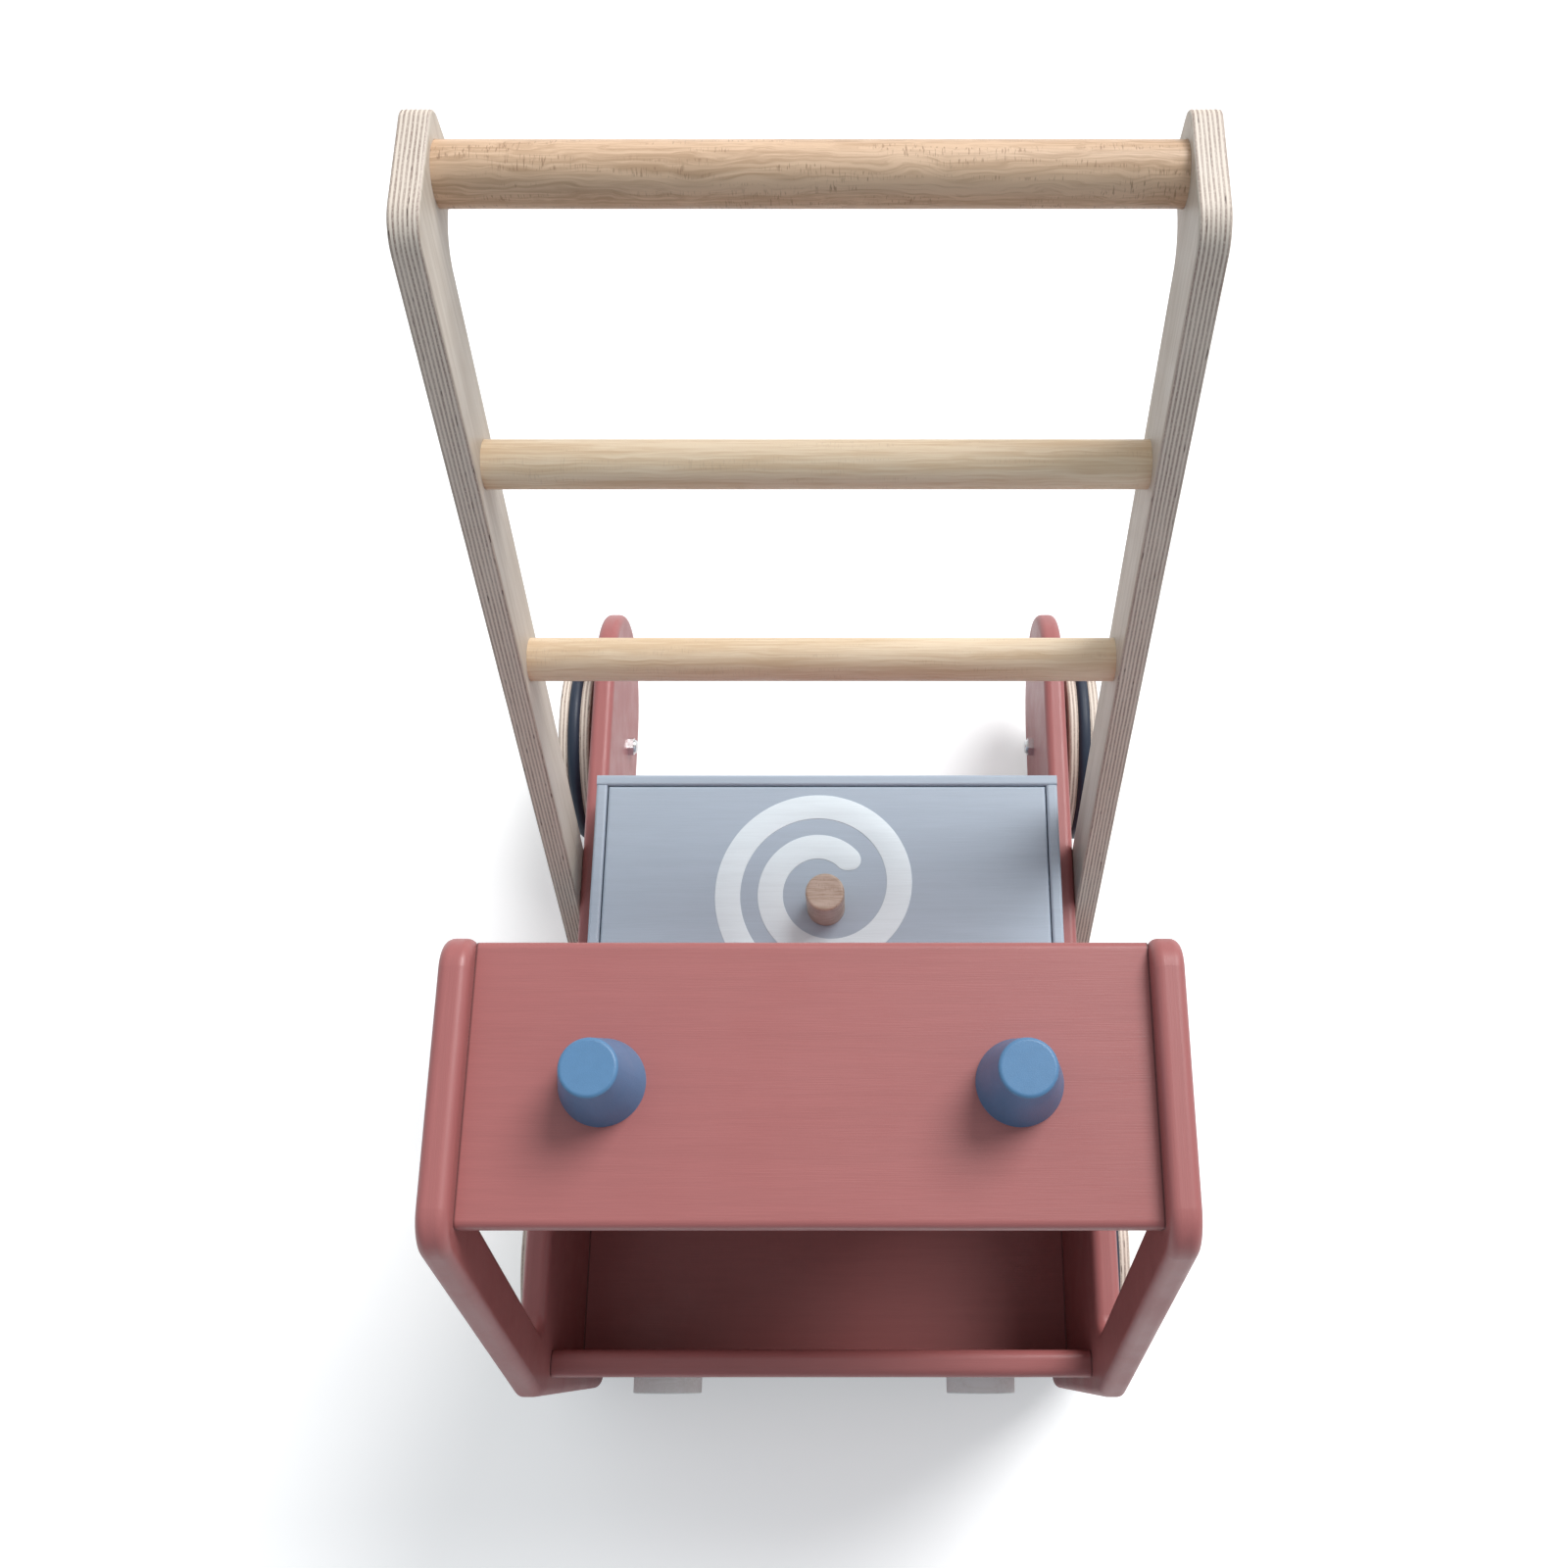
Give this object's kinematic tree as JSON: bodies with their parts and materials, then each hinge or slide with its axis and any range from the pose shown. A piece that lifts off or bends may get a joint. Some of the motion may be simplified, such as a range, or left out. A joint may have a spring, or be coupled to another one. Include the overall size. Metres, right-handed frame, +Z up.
{
  "type": "baby walker",
  "caption": "Push-along baby walker shaped as a fire truck: open cab, lidded storage box, leaning ladder with a round handle bar, plywood wheels with rubber rings.",
  "frame": {"origin": "on the ground, in the middle of the walker's length and width", "axes": "-Y is the front of the truck, +X the child's left hand, +Z up"},
  "size_m": [0.326, 0.448, 0.5092],
  "materials": {
    "red_paint": "satin paint on plywood",
    "grey_paint": "satin paint on plywood",
    "blue_paint": "satin paint on turned wood",
    "pale_wood": "clear lacquer",
    "birch_ply": "clear lacquer",
    "beech": "clear lacquer",
    "tyre_rubber": "matt rubber",
    "nylon": "natural nylon",
    "zinc_steel": "zinc plated",
    "chrome": "polished"
  },
  "bodies": {
    "chassis": {"left_side_panel": "red_paint", "right_side_panel": "red_paint", "roof_panel": "red_paint", "front_board": "red_paint", "cab_floor": "red_paint", "cab_back_board": "red_paint", "box_front_board": "grey_paint", "box_back_board": "grey_paint", "box_left_board": "grey_paint", "box_right_board": "grey_paint", "box_floor": "grey_paint", "lid_ledges": "grey_paint", "left_headlight": "pale_wood", "right_headlight": "pale_wood", "left_beacon": "blue_paint", "right_beacon": "blue_paint", "left_ladder_rail": "birch_ply", "right_ladder_rail": "birch_ply", "handle_bar": "beech", "upper_rung": "beech", "lower_rung": "beech", "panel_screws": "zinc_steel", "box_screws": "zinc_steel", "rail_screws": "zinc_steel", "rung_screws": "zinc_steel", "beacon_screws": "zinc_steel", "headlight_screws": "zinc_steel", "axle_bolts": "chrome", "cap_nuts": "chrome", "wheel_spacers": "nylon", "axle_washers": "zinc_steel"},
    "front_left_wheel_set": {"front_left_wheel": "birch_ply", "front_left_tyre": "tyre_rubber", "front_left_bush": "nylon"},
    "front_right_wheel_set": {"front_right_wheel": "birch_ply", "front_right_tyre": "tyre_rubber", "front_right_bush": "nylon"},
    "rear_left_wheel_set": {"rear_left_wheel": "birch_ply", "rear_left_tyre": "tyre_rubber", "rear_left_bush": "nylon"},
    "rear_right_wheel_set": {"rear_right_wheel": "birch_ply", "rear_right_tyre": "tyre_rubber", "rear_right_bush": "nylon"},
    "lid": {"lid_panel": "grey_paint", "lid_knob": "beech", "lid_knob_screw": "zinc_steel"}
  },
  "joints": [
    {"name": "front_left_spin", "type": "hinge", "parent": "chassis", "child": "front_left_wheel_set", "pos_m": [0.14925, -0.153, 0.057], "axis": [1, 0, 0], "continuous": true},
    {"name": "front_right_spin", "type": "hinge", "parent": "chassis", "child": "front_right_wheel_set", "pos_m": [-0.14925, -0.153, 0.057], "axis": [1, 0, 0], "continuous": true},
    {"name": "rear_left_spin", "type": "hinge", "parent": "chassis", "child": "rear_left_wheel_set", "pos_m": [0.14925, 0.147, 0.057], "axis": [1, 0, 0], "continuous": true},
    {"name": "rear_right_spin", "type": "hinge", "parent": "chassis", "child": "rear_right_wheel_set", "pos_m": [-0.14925, 0.147, 0.057], "axis": [1, 0, 0], "continuous": true},
    {"name": "lid_lift", "type": "slide", "parent": "chassis", "child": "lid", "axis": [0, 0, 1], "range_m": [0, 0.1]}
  ]
}
